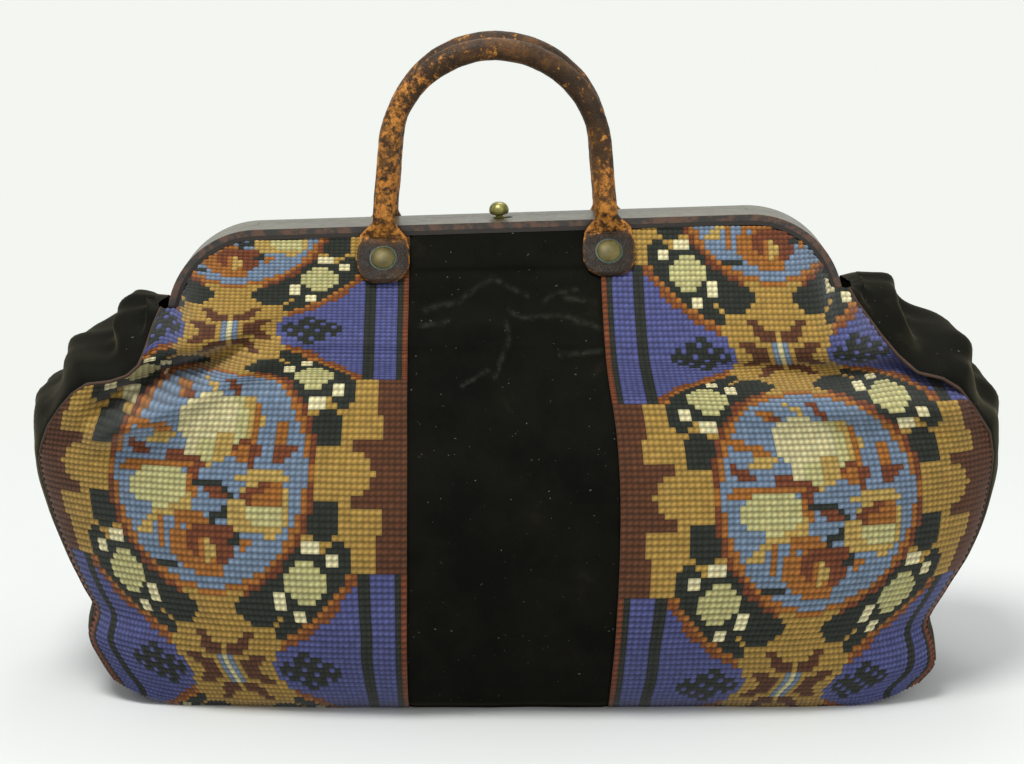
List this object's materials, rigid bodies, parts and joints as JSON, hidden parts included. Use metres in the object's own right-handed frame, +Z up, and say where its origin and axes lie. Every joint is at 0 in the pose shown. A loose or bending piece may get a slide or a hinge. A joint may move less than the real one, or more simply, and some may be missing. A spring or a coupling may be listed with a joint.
{
  "type": "carpet bag",
  "caption": "Travelling bag of needlework and velvet with a hinged metal frame that opens along the top, a sliding clasp and two rolled leather handles that fold down.",
  "frame": {"origin": "on the floor under the middle of the bag's outline", "axes": "+Z up, +X to the bag's right as seen from the front, the front faces -Y"},
  "size_m": [0.5299, 0.196, 0.3512],
  "materials": {
    "needlework": "wool cross stitch on canvas, floral roundels in blue, tan, rust, cream and dark green",
    "velvet": "worn black velvet with an olive cast",
    "lining_cotton": "plain glazed cotton",
    "board": "pressed brown board",
    "frame_enamel": "dull grey brown enamel with a worn pale edge",
    "welt_leather": "thin dark edging",
    "leather": "dark brown rolled leather, worn tan at the bends",
    "brass": "tarnished",
    "steel": "dull"
  },
  "bodies": {
    "bag_body": {"velvet_strip": "velvet", "needlework_left": "needlework", "needlework_right": "needlework", "gusset_left": "velvet", "gusset_right": "velvet", "lining": "lining_cotton", "base_board": "board", "hinge_pins": "steel"},
    "front_frame": {"front_jaw": "frame_enamel", "front_welt": "welt_leather", "front_band_needlework_left": "needlework", "front_band_velvet": "velvet", "front_band_needlework_right": "needlework", "front_tabs": "leather", "front_studs": "brass", "front_stud_washers": "steel", "latch_spring": "steel"},
    "back_frame": {"back_jaw": "frame_enamel", "back_welt": "welt_leather", "back_band_needlework_left": "needlework", "back_band_velvet": "velvet", "back_band_needlework_right": "needlework", "back_tabs": "leather", "back_studs": "brass", "back_stud_washers": "steel", "latch_keeper": "steel"},
    "front_grip": {"front_handle": "leather"},
    "back_grip": {"back_handle": "leather"},
    "clasp": {"clasp_knob": "brass", "latch_bolt": "steel"}
  },
  "joints": [
    {"name": "front_frame_hinge", "type": "hinge", "parent": "bag_body", "child": "front_frame", "pos_m": [-0.00679, 0, 0.19903], "axis": [0.9995, 0, 0.0314], "range_deg": [0, 55], "deforming": ["front_band_needlework_left", "front_band_velvet", "front_band_needlework_right"]},
    {"name": "back_frame_hinge", "type": "hinge", "parent": "bag_body", "child": "back_frame", "pos_m": [-0.00679, 0, 0.19903], "axis": [-0.9995, 0, -0.0314], "range_deg": [0, 55], "deforming": ["back_band_needlework_left", "back_band_velvet", "back_band_needlework_right"]},
    {"name": "front_handle_hinge", "type": "hinge", "parent": "front_frame", "child": "front_grip", "pos_m": [-0.00831, -0.01882, 0.2476], "axis": [0.9995, 0, 0.0314], "range_deg": [0, 70]},
    {"name": "back_handle_hinge", "type": "hinge", "parent": "back_frame", "child": "back_grip", "pos_m": [-0.00831, 0.01882, 0.2476], "axis": [-0.9995, 0, -0.0314], "range_deg": [0, 70]},
    {"name": "clasp_slide", "type": "slide", "parent": "front_frame", "child": "clasp", "axis": [0.9995, 0, 0.0314], "range_m": [0, 0.005], "stiffness_N_per_m": 500, "springref_m": -0.002, "deforming": ["latch_spring"]}
  ]
}
